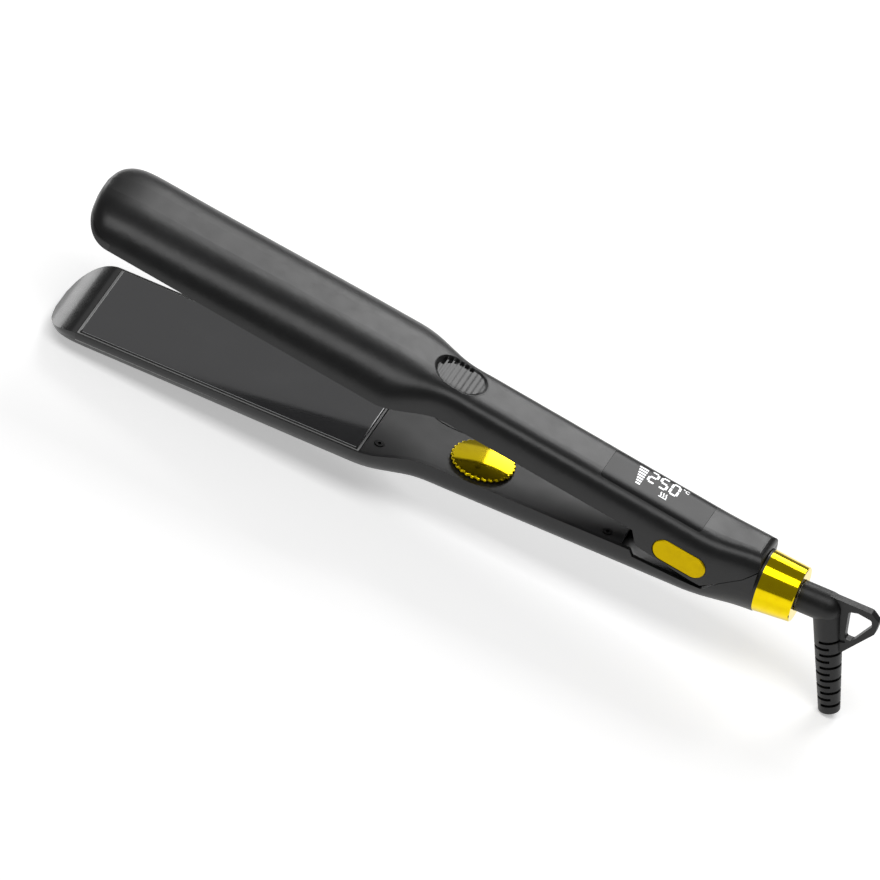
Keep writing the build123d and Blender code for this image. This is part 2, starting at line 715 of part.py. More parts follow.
def vent_outline(grow):
    """Pocket outline of the scoop: round at the front, seen from above."""
    length, width = VENT_LENGTH + 2 * grow, VENT_WIDTH + 2 * grow
    shape = RectangleRounded(length, width, min(width, length) / 2 - 0.1)
    return Pos(VENT_X, 0, 0) * extrude(shape, FAR)


def window_outline(grow):
    """Outline of the display window, seen from above."""
    shape = RectangleRounded(WINDOW_LENGTH + 2 * grow, WINDOW_WIDTH + 2 * grow, 1.5)
    return Pos(WINDOW_X, 0, 0) * extrude(shape, FAR)


def button_outline(grow, y0, y1):
    """Pill-shaped bar across the near wall, between two y values."""
    shape = SlotOverall(BUTTON_LENGTH + 2 * grow, BUTTON_WIDTH + 2 * grow)
    bar = Plane.XZ * extrude(shape, y1 - y0)
    return Pos(BUTTON_X, y1, BUTTON_Z) * bar


def upper_pieces():
    """Everything that swings with the upper arm, plus its floating plate."""
    pieces = {}
    shell = arm_shell(1, UPPER_SIDE, UPPER_CAVITY)
    shell -= vent_outline(0)
    lens = (form() - form(LENS_THICKNESS, 3.0, TAIL_END)) & window_outline(-PART_GAP)
    shell -= (form() - form(LENS_THICKNESS, 3.0, TAIL_END)) & window_outline(0)
    shell -= window_outline(-1.6)
    wall = HANDLE_HALF_WIDTH - WALL
    shell -= button_outline(PART_GAP, -BUTTON_FACE - 3, -wall + 2)
    shell = add_posts(shell, 1, UPPER_COVER_TOP, UPPER_SCREWS)
    pieces["upper_shell"] = shell
    pieces["upper_tip_cap"] = tip_cap(1, UPPER_SIDE)
    pieces["upper_inner_cover"] = upper_cover()
    pieces["upper_cover_screws"] = cover_screws(1, UPPER_COVER_TOP, UPPER_SCREWS)
    pieces["upper_plate_frame"] = plate_frame(1)
    pieces["upper_plate_springs"] = plate_springs(1)
    pieces["upper_plate"] = heating_plate(1)
    pieces["upper_heater"] = heater(1)
    pieces["upper_insulation"] = insulation(1)
    pieces["upper_heater_clamp"] = clamp(1)
    pieces["upper_sensor"] = sensor(1)
    pieces["display_window"] = lens
    pieces["vent_grille"] = vent_grille()
    pieces["hinge_bracket"] = hinge_bracket()
    pieces.update(electronics())
    pieces.update(button_pieces())
    pieces["arm_bumpers"] = bumpers()
    return pieces


def upper_cover():
    """Lid of the upper handle, set back behind the bumpers."""
    return inner_cover(1, UPPER_COVER_TOP, CHEEK_X - 2.0, UPPER_SCREWS)


def vent_grille():
    """Recessed grille of cross ribs; the slots let the hot air out."""
    skin = form(GRILLE_RECESS, 3.0, TAIL_END)
    skin -= form(GRILLE_RECESS + GRILLE_THICKNESS, 3.0, TAIL_END)
    grille = skin & vent_outline(-PART_GAP)
    pitch = (VENT_LENGTH - 4.0) / VENT_SLOTS
    for index in range(VENT_SLOTS):
        x = VENT_X - VENT_LENGTH / 2 + 2.6 + pitch * index
        reach = VENT_WIDTH / 2 - 2.0 - 0.5 * abs(index - 3)
        grille -= block(x, x + pitch * 0.45, -reach, reach, 0, FAR)
    return grille


def electronics():
    """Control board, display module, thermal fuse and the button's switch board."""
    board_z = UPPER_COVER_TOP + COVER_THICKNESS + 0.2
    module_top = TOP_AT_HANDLE - WALL - LOOSE_GAP
    start = WINDOW_X - WINDOW_LENGTH / 2 + 3
    end = WINDOW_X + WINDOW_LENGTH / 2 - 3
    module = block(start, end, -6.5, 6.5, module_top - 2.6, module_top)
    board = block(NECK_END + 17, CHEEK_X - 13, -6, 6, board_z, board_z + 1.2)
    fuse_x = PLATE_MIDDLE
    fuse_z = CLAMP_Z + CLAMP_THICKNESS + PLATE_FLOAT + 2.6
    fuse = rod(1.6, (fuse_x - 5, -8, fuse_z), (fuse_x + 5, -8, fuse_z))
    inner = -SWITCH_BOARD_Y
    plate = block(BUTTON_X - 10, BUTTON_X + 9, inner, inner + 1.2, -3.2, BRACKET_Z - 0.5)
    switch = block(BUTTON_X - 3, BUTTON_X + 3, inner - SWITCH_HEIGHT, inner, BUTTON_Z - 3, BUTTON_Z + 3)
    return {
        "control_board": board,
        "display_module": module,
        "thermal_fuse": fuse,
        "switch_board": plate,
        "tact_switch": switch,
    }


SWITCH_BOARD_Y = 7.2
SWITCH_HEIGHT = 2.9


def button_pieces():
    """Gold pill button with an inner flange and stem, and its return spring."""
    flange_front = HANDLE_HALF_WIDTH - WALL - 0.9
    flange_back = flange_front - BUTTON_FLANGE
    face = button_outline(-PART_GAP, -BUTTON_FACE, -flange_front)
    face = chamfer(face.faces().sort_by(Axis.Y)[0].edges(), 0.35)
    flange = button_outline(0.6, -flange_front, -flange_back)
    stem_end = SWITCH_BOARD_Y + SWITCH_HEIGHT + BUTTON_TRAVEL + 0.15
    stem = rod(1.8, (BUTTON_X, -flange_back, BUTTON_Z), (BUTTON_X, -stem_end, BUTTON_Z))
    wire = 0.3
    length = flange_back - SWITCH_BOARD_Y - 2 * wire - 0.1
    spring = Rot(90, 0, 0) * coil(4.9, wire, length, 2.5)
    spring = Pos(BUTTON_X, -SWITCH_BOARD_Y - wire - 0.05, BUTTON_Z) * spring
    return {"power_button": face + flange + stem, "button_spring": spring}


def bumpers():
    """Two rubber pads that meet the lower cover when the arms are shut."""
    pads = []
    for side in (-1, 1):
        x, y = CHEEK_X - 4.6, side * 5.0
        pads.append(rod(1.8, (x, y, UPPER_COVER_TOP), (x, y, -COVER_TOP + LOOSE_GAP)))
    return Compound(children=pads)


# --------------------------------------------------------- assembly and stance
def nose_low(lean):
    """Lowest height of the nose's underside when the iron leans nose-down."""
    c, s = cos(radians(lean)), sin(radians(lean))
    return min(0.25 * i * s - bottom_height(0.25 * i) * c for i in range(240))


def boot_low(lean):
    """Lowest height of the boot's rounded end when the iron leans nose-down."""
    c, s = cos(radians(lean)), sin(radians(lean))
    lean_of_leg = radians(LEG_LEAN + lean)
    edge = 1.0
    middle = LEG_END - LEG_AXIS * edge
    height = middle.X * s + middle.Z * c
    return height - (LEG_END_RADIUS - edge) * sin(lean_of_leg) - edge


def stance():
    """Lean at which nose and boot end touch the same level, found by halving."""
    low, high = 0.0, 20.0
    for _ in range(40):
        middle = (low + high) / 2
        if nose_low(middle) > boot_low(middle):
            low = middle
        else:
            high = middle
    return (low + high) / 2


LEAN = stance()


def build():
    """All nodes of the iron, standing on the table with its arms open."""
    fixed = lower_pieces()
    fixed.update(dial_pieces())
    fixed.update(hinge_pieces())
    fixed["collar_ring"] = collar_ring()
    fixed["swivel_bush"] = swivel_bush()
    fixed["brush_block"] = brush_block()
    fixed["slip_rings"] = slip_rings()
    fixed["swivel_barrel"] = swivel_barrel()
    fixed["cord_boot"] = cord_boot()
    pivot = Axis((HINGE_X, 0, 0), (0, 1, 0))
    swung = {name: piece.rotate(pivot, OPEN_ANGLE) for name, piece in upper_pieces().items()}
    fixed.update(swung)
    return {name: Rot(0, -LEAN, 0) * piece for name, piece in fixed.items()}


nodes = build()
boxes = [piece.bounding_box(optimal=True) for piece in nodes.values()]
middle_x = (min(box.min.X for box in boxes) + max(box.max.X for box in boxes)) / 2
shift = Vector(-middle_x, 0, -min(box.min.Z for box in boxes))

os.makedirs("parts", exist_ok=True)
for name, piece in nodes.items():
    export_step(Location(shift) * piece, f"parts/{name}.step")
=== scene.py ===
"""Flat iron with floating plates, a gold dial, a display and a swivelling cord boot."""
import json
import bpy
import numpy as np
from mathutils import Matrix, Vector


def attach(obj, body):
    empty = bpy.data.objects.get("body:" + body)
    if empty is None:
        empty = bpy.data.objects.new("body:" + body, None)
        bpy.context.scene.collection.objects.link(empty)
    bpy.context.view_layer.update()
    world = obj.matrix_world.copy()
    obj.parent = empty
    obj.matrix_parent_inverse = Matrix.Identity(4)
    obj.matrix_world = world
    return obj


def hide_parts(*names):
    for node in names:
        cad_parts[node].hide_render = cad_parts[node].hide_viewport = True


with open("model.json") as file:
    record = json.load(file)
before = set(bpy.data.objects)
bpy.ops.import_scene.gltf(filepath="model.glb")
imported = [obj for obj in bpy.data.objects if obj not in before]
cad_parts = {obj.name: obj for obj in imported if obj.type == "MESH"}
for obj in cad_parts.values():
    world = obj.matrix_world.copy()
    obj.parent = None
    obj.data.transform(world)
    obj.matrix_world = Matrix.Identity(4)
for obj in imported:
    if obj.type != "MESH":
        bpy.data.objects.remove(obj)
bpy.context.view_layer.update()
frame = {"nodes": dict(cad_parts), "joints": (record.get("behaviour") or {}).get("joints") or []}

nodes = frame["nodes"]
joints = {joint["name"]: joint for joint in frame["joints"]}


# ------------------------------------------------------------------ housing shells
# The two housings are moulded in satin black plastic with a fine spark-eroded grain.
# Their shapes come ready made; here they get the grain, a soft sheen and handling marks.
class Wire:
    """A socket of a finish. Sums written with it add Math nodes to that finish."""

    def __init__(self, finish, socket):
        self.finish = finish
        self.socket = socket

    def sum(self, operation, first, second):
        return self.finish.node("Math", {"operation": operation}, {0: first, 1: second})

    def __add__(self, other):
        return self.sum("ADD", self, other)

    __radd__ = __add__

    def __mul__(self, other):
        return self.sum("MULTIPLY", self, other)

    __rmul__ = __mul__


class Finish:
    """A procedural material: one Principled shader and the nodes that vary it."""

    def __init__(self, name, steady=None):
        self.material = bpy.data.materials.new(name)
        self.material.use_nodes = True
        self.tree = self.material.node_tree
        self.shader = self.tree.nodes["Principled BSDF"]
        for socket, value in (steady or {}).items():
            self.shader.inputs[socket].default_value = value

    def node(self, kind, settings=None, inputs=None, output=0):
        """Adds one shader node: settings first, then its socket values or links."""
        made = self.tree.nodes.new("ShaderNode" + kind)
        for key, value in (settings or {}).items():
            setattr(made, key, value)
        for key, value in (inputs or {}).items():
            self.feed(made.inputs[key], value)
        return Wire(self, made.outputs[output])

    def feed(self, socket, value):
        """Links a wire to a socket, or sets the socket's value."""
        if isinstance(value, Wire):
            self.tree.links.new(value.socket, socket)
        elif socket.type == "RGBA" and len(value) == 3:
            socket.default_value = (*value, 1.0)
        else:
            socket.default_value = value

    def place(self):
        """Position on the piece in metres."""
        return self.node("TexCoord", output="Object")

    def noise(self, size, detail=2.0, at=None, rough=0.5):
        """Cloudy pattern from 0 to 1 whose features are about size metres across."""
        inputs = {"Vector": at or self.place(), "Scale": 1.0 / size}
        inputs |= {"Detail": detail, "Roughness": rough}
        return self.node("TexNoise", {}, inputs)

    def blend(self, share, first, second):
        """Colour that runs from first to second as share goes from 0 to 1."""
        inputs = {0: share, 6: first, 7: second}
        return self.node("Mix", {"data_type": "RGBA"}, inputs, 2)

    def ramp(self, wire, low, high):
        """The wire's range from low to high, stretched to 0 to 1."""
        inputs = {"Value": wire, "From Min": low, "From Max": high}
        return self.node("MapRange", {}, inputs)

    def bump(self, height, depth):
        """Small relief: height from 0 to 1 stands depth metres."""
        inputs = {"Height": height, "Distance": depth, "Strength": 1.0}
        return self.node("Bump", {}, inputs)

    def paint(self, **sockets):
        """Feeds the shader: base_color, roughness, metallic, normal and the like."""
        for key, value in sockets.items():
            name = key.replace("_", " ").title()
            self.feed(self.shader.inputs[name], value)
        return self.material


def dress(material, *names):
    """Puts one material on CAD nodes, whole."""
    for name in names:
        slots = nodes[name].data.materials
        slots.clear()
        slots.append(material)


def moulded(name, dark, light, rough, grain_depth, steady=None, grain=0.00022):
    """Moulded plastic: fine grain relief, faint tone change and smudged sheen."""
    finish = Finish(name, steady)
    cloud = finish.noise(0.018, 3.0)
    grain_wire = finish.noise(grain, 2.0)
    smudge = finish.ramp(finish.noise(0.006, 4.0, rough=0.6), 0.35, 0.7)
    return finish.paint(
        base_color=finish.blend(cloud, dark, light),
        roughness=rough + 0.05 * smudge + 0.06 * grain_wire,
        normal=finish.bump(grain_wire, grain_depth),
    )


satin_black = moulded(
    "satin_black", (0.0040, 0.0040, 0.0042), (0.0062, 0.0062, 0.0065), 0.29, 6e-6
)
dress(satin_black, "upper_shell", "lower_shell")

# ------------------------------------------------------------------------ tip caps
# The nose caps are separate mouldings in polished black, clipped over the arm ends.
# They keep a mirror-like skin, with only the faintest ripple left by the tool.
gloss_black = moulded(
    "gloss_black", (0.0030, 0.0030, 0.0032), (0.0050, 0.0050, 0.0052), 0.15, 1.2e-6,
    {"Coat Weight": 0.2, "Coat Roughness": 0.05}, grain=0.0011,
)
dress(gloss_black, "upper_tip_cap", "lower_tip_cap")

# ------------------------------------------------------------------ heating plates
# Aluminium plates with a hard, glassy ceramic coating that is wiped clean often:
# nearly a mirror, with hair-fine wipe marks that run along the plate.
def coated_plate():
    """Dark semi-metallic coating: flecked tone, cloudy haze and lengthwise wipes."""
    finish = Finish("plate_coating")
    stretch = finish.node(
        "Mapping", {}, {"Vector": finish.place(), "Scale": (0.02, 1.0, 1.0)}
    )
    wipes = finish.noise(0.00035, 3.0, at=stretch, rough=0.7)
    haze = finish.ramp(finish.noise(0.014, 4.0), 0.4, 0.75)
    fleck = finish.noise(0.0003, 2.0)
    return finish.paint(
        base_color=finish.blend(fleck, (0.105, 0.105, 0.107), (0.135, 0.135, 0.137)),
        roughness=0.06 + 0.05 * haze + 0.05 * wipes,
        metallic=1.0,
        normal=finish.bump(wipes, 1.2e-6),
    )


plate_coating = coated_plate()
dress(plate_coating, "upper_plate", "lower_plate")

# -------------------------------------------------------------------- plate frames
# A thin light-grey strip of heat-proof plastic runs round each plate and seals the
# float gap; only its front end and its thin side lines show.
frame_grey = moulded("frame_grey", (0.26, 0.26, 0.26), (0.34, 0.34, 0.335), 0.32, 4e-6)
dress(frame_grey, "upper_plate_frame", "lower_plate_frame")

# ---------------------------------------------------------------- inner arm covers
# Flat lids inside the handle: the same plastic as the housings with a finer grain,
# painted a shade lighter all over as a painted reflection of the lamps.
cover_black = moulded(
    "cover_black", (0.016, 0.016, 0.0165), (0.022, 0.022, 0.0225), 0.34, 5e-6
)
dress(cover_black, "upper_inner_cover", "lower_inner_cover")

# ------------------------------------------------- dial, button and collar in gold
# Metallised plastic trim in a strong yellow gold. It is polished on the collar and
# the dial, and satin on the button, with fine turning or brushing lines.
def gilt(name, rough, line_depth, along, bright, dull):
    """Gold plating whose fine lines are stretched by along; dull is its tarnish."""
    finish = Finish(name)
    stretch = finish.node("Mapping", {}, {"Vector": finish.place(), "Scale": along})
    lines = finish.noise(0.0002, 2.0, at=stretch)
    tarnish = finish.ramp(finish.noise(0.004, 4.0, rough=0.6), 0.45, 0.8)
    return finish.paint(
        base_color=finish.blend(tarnish, bright, dull),
        roughness=rough + 0.05 * tarnish + 0.05 * lines,
        metallic=1.0,
        normal=finish.bump(lines, line_depth),
    )


polished_gold = gilt(
    "polished_gold", 0.07, 0.8e-6, (1.0, 0.1, 0.1),
    (0.90, 0.68, 0.004), (0.82, 0.59, 0.004),
)
satin_gold = gilt(
    "satin_gold", 0.36, 2.0e-6, (0.06, 1.0, 1.0),
    (0.60, 0.42, 0.003), (0.54, 0.37, 0.003),
)
dress(polished_gold, "collar_ring")
dress(satin_gold, "power_button")

# ------------------------------------------------------------------ display window
# A smoked acrylic lens, flush with the handle's crown, over the display module.
def smoked():
    """Near-black acrylic with specks of dust and a faint haze."""
    finish = Finish("smoked_window", {"Specular IOR Level": 0.3})
    dust = finish.ramp(finish.noise(0.0006, 3.0), 0.62, 0.8)
    haze = finish.noise(0.009, 3.0)
    return finish.paint(
        base_color=finish.blend(dust, (0.0030, 0.0030, 0.0034), (0.008, 0.008, 0.008)),
        roughness=0.27 + 0.05 * haze,
        normal=finish.bump(dust, 1.0e-6),
    )


smoked_window = smoked()
dress(smoked_window, "display_window")


# ----------------------------------------------------------------------- gold dial
# The temperature dial is one gilded cap, like a low crown cork: thirty flutes round
# its edge, a rounded shoulder and a slightly domed, mirror-bright top.
DIAL_FROM_NOSE, DIAL_RADIUS, FLUTES, FLUTE_DEPTH = 0.1708, 0.0125, 30, 0.00065
DIAL_FLOOR, DIAL_TOP, DIAL_DOME, SHOULDER = -0.0007, 0.0019, 0.0011, 0.0008
DIAL_CHAMFER = 0.0003

# The iron's own axes, in which the pieces made here are drawn: x from the nose to the
# tail, y across, z away from the contact plane.
HINGE_FROM_NOSE = 0.2720
hinge = joints["arm_hinge"]
swivel = joints["cord_swivel_turn"]
LENGTHWISE = Vector(swivel["axis"]).normalized()
ACROSS = Vector((0.0, 1.0, 0.0))
OUTWARD = LENGTHWISE.cross(ACROSS)
NOSE = Vector(hinge["pos_m"]) - LENGTHWISE * HINGE_FROM_NOSE
AXES = np.array([LENGTHWISE, ACROSS, OUTWARD])


def on_lower(points):
    """Points in the iron's own axes, carried to the frame."""
    return np.asarray(points, float) @ AXES + np.array(NOSE)


def surface(name, grids, closed=False, smooth=True):
    """One mesh object from grids of points, each (rows, columns, 3), joined as quads;
    a closed grid runs on from its last column to its first."""
    points, faces, start = [], [], 0
    for grid in grids:
        rows, columns = grid.shape[:2]
        index = np.arange(rows * columns).reshape(rows, columns) + start
        right = np.roll(index, -1, axis=1)
        last = columns if closed else columns - 1
        quads = [index[:-1, :last], right[:-1, :last], right[1:, :last], index[1:, :last]]
        faces.append(np.stack(quads, axis=-1).reshape(-1, 4))
        points.append(grid.reshape(-1, 3))
        start += rows * columns
    mesh = bpy.data.meshes.new(name)
    mesh.from_pydata(np.concatenate(points), [], np.concatenate(faces).tolist())
    mesh.polygons.foreach_set("use_smooth", np.full(len(mesh.polygons), smooth))
    made = bpy.data.objects.new(name, mesh)
    bpy.context.scene.collection.objects.link(made)
    return made


def dial_cap():
    """Profile turned about the dial's axis: wall, shoulder arc, dome; the flutes cut
    the wall and fade out over the shoulder."""
    rim = DIAL_TOP - DIAL_DOME
    bend = np.linspace(0.0, np.pi / 2, 12)
    radius = np.concatenate([
        [0.0, DIAL_RADIUS - DIAL_CHAMFER, DIAL_RADIUS, DIAL_RADIUS],
        DIAL_RADIUS - SHOULDER * (1 - np.cos(bend)),
        (DIAL_RADIUS - SHOULDER) * np.cos(np.linspace(0.05, 1.0, 30) * np.pi / 2),
    ])
    share = np.clip(radius / (DIAL_RADIUS - SHOULDER), 0.0, 1.0)
    height = rim + DIAL_DOME * (1 - share**2)
    height[:3] = DIAL_FLOOR, DIAL_FLOOR, DIAL_FLOOR + DIAL_CHAMFER
    height[3] = rim - SHOULDER
    height[4:16] = rim - SHOULDER + SHOULDER * np.sin(bend)
    turn = np.linspace(0.0, 2 * np.pi, 24 * FLUTES, endpoint=False)
    bite = np.clip((radius - DIAL_RADIUS + 1.25 * SHOULDER) / SHOULDER, 0.0, 1.0)
    wave = (0.5 + 0.5 * np.cos(FLUTES * turn)) ** 1.6
    spread = radius[:, None] - FLUTE_DEPTH * bite[:, None] * wave
    grid = np.stack([
        DIAL_FROM_NOSE + spread * np.cos(turn),
        spread * np.sin(turn),
        np.broadcast_to(height[:, None], spread.shape),
    ], axis=-1)
    return surface("dial_cap", [on_lower(grid)[:, ::-1]], closed=True)


dial = dial_cap()
dial.data.materials.append(polished_gold)
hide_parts("dial_knob")
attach(dial, "temperature_dial")

# ------------------------------------------------------------------ display legend
# The lit segments under the lens: seven heat bars, three digits, the degree sign
# with its C, and a heat mark of three waves. Each is a thin raised strip.
LEGEND_HEIGHT, LEGEND_THICK = 0.00004, 0.00003
BARS, BAR_SHORTEST, BAR_GROWTH = 7, 0.0019, 0.00031
BAR_PITCH, BAR_WIDTH, BAR_RIGHT, BAR_LOW = 0.00163, 0.00092, 0.2279, -0.0030
DIGIT_FOOT, DIGIT_TALL, DIGIT_WIDE, SEGMENT = 0.0014, 0.0064, 0.0029, 0.0009
DIGIT_STARTS = (0.2293, 0.2339, 0.2385)
SEGMENTS_LIT = ("abged", "afgcd", "abcdef")
WAVES, WAVE_START, WAVE_PITCH, WAVE_SWAY = 3, 0.23640, 0.0011, 0.00022
WAVE_FOOT, WAVE_TALL, WAVE_LINE = -0.0029, 0.0025, 0.00042
BASE_LEFT, BASE_RIGHT, BASE_LEVEL = 0.2358, 0.2392, -0.0034
DEGREE_X, DEGREE_Y, DEGREE_RADIUS, DEGREE_LINE = 0.24290, 0.0077, 0.00032, 0.00022
LETTER_X, LETTER_Y, LETTER_RADIUS, LETTER_LINE = 0.24450, 0.0071, 0.00080, 0.00034
LETTER_FROM, LETTER_TO = 0.12, 0.88

# The handle's outer skin while the arm is shut, as (x, value) stops: half-width,
# height and fullness of the shoulder; the crown is flat as far as CROWN from y = 0.
NECK, HANDLE, TAIL, END = 0.1282, 0.1532, 0.2582, 0.2852
SKIN_WIDTH = ((NECK, 0.0243), (HANDLE, 0.0146), (TAIL, 0.0146), (END, 0.0121))
SKIN_TOP = ((NECK, 0.0159), (HANDLE, 0.0139), (TAIL, 0.0139), (END, 0.0145))
SKIN_FULL = ((NECK, 0.60), (HANDLE, 0.78), (TAIL, 0.78), (END, 0.56))
CROWN = 0.005


def eased(x, stops):
    """Value at x, with a smooth step from each stop to the next."""
    value = np.full(np.shape(x), stops[0][1])
    for (x0, v0), (x1, v1) in zip(stops, stops[1:]):
        t = np.clip((x - x0) / (x1 - x0), 0.0, 1.0)
        value = value + (v1 - v0) * t * t * (3 - 2 * t)
    return value


def skin(x, y):
    """Height of the shut upper arm's outer skin: a flat crown and a Bezier shoulder."""
    x, y = np.broadcast_arrays(np.asarray(x, float), np.asarray(y, float))
    t = np.linspace(0.0, 1.0, 160)
    width, top, full = (
        eased(x, stops)[..., None] for stops in (SKIN_WIDTH, SKIN_TOP, SKIN_FULL)
    )
    bend = CROWN + (width - CROWN) * full
    a, b, c, d = (1 - t) ** 3, 3 * (1 - t) ** 2 * t, 3 * (1 - t) * t * t, t**3
    out = CROWN * a + bend * b + width * (c + d)
    high = top * (a + b) + top * full * c
    step = np.clip((out < np.abs(y)[..., None]).sum(-1) - 1, 0, len(t) - 2)[..., None]
    o0, o1 = (np.take_along_axis(out, step + i, -1)[..., 0] for i in (0, 1))
    h0, h1 = (np.take_along_axis(high, step + i, -1)[..., 0] for i in (0, 1))
    share = np.clip((np.abs(y) - o0) / (o1 - o0), 0.0, 1.0)
    return h0 + (h1 - h0) * share


OPENING = np.radians(hinge["range_deg"][1])


def on_upper(points):
    """Points drawn on the shut upper arm, swung open and carried to the frame."""
    points = np.asarray(points, float)
    c, s = np.cos(OPENING), np.sin(OPENING)
    x = points[..., 0] - HINGE_FROM_NOSE
    z = points[..., 2]
    swung = np.stack(
        [HINGE_FROM_NOSE + x * c + z * s, points[..., 1], z * c - x * s], axis=-1
    )
    return on_lower(swung)


def strip(path, width):
    """Flat ribbon on the skin, half the width to each side of the path."""
    path = np.asarray(path, float)
    run = np.gradient(path, axis=0)
    run /= np.linalg.norm(run, axis=1)[:, None]
    side = np.stack([-run[:, 1], run[:, 0]], axis=-1) * width / 2
    flat = np.stack([path - side, path, path + side], axis=0)
    lift = skin(flat[..., 0], flat[..., 1]) + LEGEND_HEIGHT
    return on_upper(np.concatenate([flat, lift[..., None]], axis=-1))


def line(start, end, count=6):
    """Evenly spaced points from start to end."""
    return np.linspace(np.array(start, float), np.array(end, float), count)


def digit(x, lit):
    """Seven-segment digit with its lower left corner at x."""
    low, high = DIGIT_FOOT, DIGIT_FOOT + DIGIT_TALL
    middle, right = (low + high) / 2, x + DIGIT_WIDE
    inset = SEGMENT * 0.35
    ends = {
        "a": ((x + inset, high), (right - inset, high)),
        "b": ((right, high - inset), (right, middle + inset)),
        "c": ((right, middle - inset), (right, low + inset)),
        "d": ((x + inset, low), (right - inset, low)),
        "e": ((x, middle - inset), (x, low + inset)),
        "f": ((x, high - inset), (x, middle + inset)),
        "g": ((x + inset, middle), (right - inset, middle)),
    }
    return [strip(line(*ends[key]), SEGMENT) for key in lit]


def arc(x, y, radius, first, last, count=16):
    """Points of an arc, angles in turns."""
    turn = 2 * np.pi * np.linspace(first, last, count)
    return np.stack([x + radius * np.cos(turn), y + radius * np.sin(turn)], axis=-1)


legend_strips = []
for index in range(BARS):
    level = BAR_LOW + BAR_PITCH * index
    length = BAR_SHORTEST + BAR_GROWTH * index
    legend_strips.append(
        strip(line((BAR_RIGHT - length, level), (BAR_RIGHT, level)), BAR_WIDTH)
    )
for start, lit in zip(DIGIT_STARTS, SEGMENTS_LIT):
    legend_strips += digit(start, lit)
degree_ring = arc(DEGREE_X, DEGREE_Y, DEGREE_RADIUS, 0.0, 1.0)
degree_letter = arc(LETTER_X, LETTER_Y, LETTER_RADIUS, LETTER_FROM, LETTER_TO)
legend_strips.append(strip(degree_ring, DEGREE_LINE))
legend_strips.append(strip(degree_letter, LETTER_LINE))
for index in range(WAVES):
    rise = np.linspace(0.0, 1.0, 14)
    sway = WAVE_START + WAVE_PITCH * index + WAVE_SWAY * np.sin(2 * np.pi * rise)
    path = np.stack([sway, WAVE_FOOT + WAVE_TALL * rise], axis=-1)
    legend_strips.append(strip(path, WAVE_LINE))
wave_base = line((BASE_LEFT, BASE_LEVEL), (BASE_RIGHT, BASE_LEVEL))
legend_strips.append(strip(wave_base, WAVE_LINE))
legend = surface("display_legend", legend_strips, smooth=False)
lit_finish = Finish("display_light", {"Emission Strength": 1.0})
lit_cloud = lit_finish.noise(0.0011, 2.0)
lit_base = lit_finish.blend(lit_cloud, (0.80, 0.81, 0.82), (0.9, 0.9, 0.9))
lit_glow = lit_finish.blend(lit_cloud, (0.84, 0.85, 0.86), (0.96, 0.96, 0.96))
legend.data.materials.append(lit_finish.paint(
    base_color=lit_base, roughness=0.4 + 0.1 * lit_cloud, emission_color=lit_glow
))
thick = legend.modifiers.new("thick", "SOLIDIFY")
thick.thickness = LEGEND_THICK
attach(legend, "upper_arm")

# -------------------------------------------------------------------- cooling scoop
# A dished insert in the shoulder of the upper arm, pressed in from outside so that
# its thin lip covers the joint. It is deepest in front, its cross ribs fade out to
# the rear, and six slots in its far wall let the heat out.
# The slots are shallow pockets painted near black: painted shade for the dark inside the holes.
SCOOP_MIDDLE, SCOOP_LONG, SCOOP_WIDE = 0.1504, 0.01122, 0.00872
SCOOP_DEPTH, SCOOP_FOOT, SCOOP_LIP = 0.0012, 0.0017, 0.00003
RIB_START, RIB_PITCH, RIB_DEPTH = 0.0016, 0.0021, 0.00014
SLOT_DEPTH, SLOT_COUNT, SLOT_FROM_MIDDLE = 0.0015, 6, 0.0012
RIM_SHARE, WALL_INNER, WALL_OUTER, FOOT_TAPER = 0.16, 0.70, 0.955, 0.94


def scoop_height(x, y, reach):
    """Skin height less a dish that is deep in front, cross ribs and wall slots; also where
    the slots get their painted shade. reach is 0 in the middle and 1 at the outline."""
    front = np.clip((SCOOP_MIDDLE + SCOOP_LONG - x) / (2 * SCOOP_LONG), 0.0, 1.0)
    dish = np.clip((1.0 - reach) / RIM_SHARE, 0.0, 1.0)
    dish = dish * dish * (3 - 2 * dish)
    phase = (x - SCOOP_MIDDLE + SCOOP_LONG - RIB_START) / RIB_PITCH
    rib = 0.5 - 0.5 * np.cos(2 * np.pi * phase)
    slot = np.clip((rib - 0.45) / 0.2, 0.0, 1.0) * (phase > 0) * (phase < SLOT_COUNT)
    wall = np.clip((reach - WALL_INNER) / 0.06, 0.0, 1.0)
    wall = wall * np.clip((WALL_OUTER - reach) / 0.05, 0.0, 1.0)
    side = np.clip((y - SLOT_FROM_MIDDLE) / 0.001, 0.0, 1.0)
    depth = SCOOP_DEPTH * (0.10 + 0.90 * front**0.8) * dish
    depth = depth + RIB_DEPTH * rib * dish * (0.35 + 0.65 * front)
    depth = depth + SLOT_DEPTH * slot * wall * side
    return skin(x, y) - depth, slot * wall * side


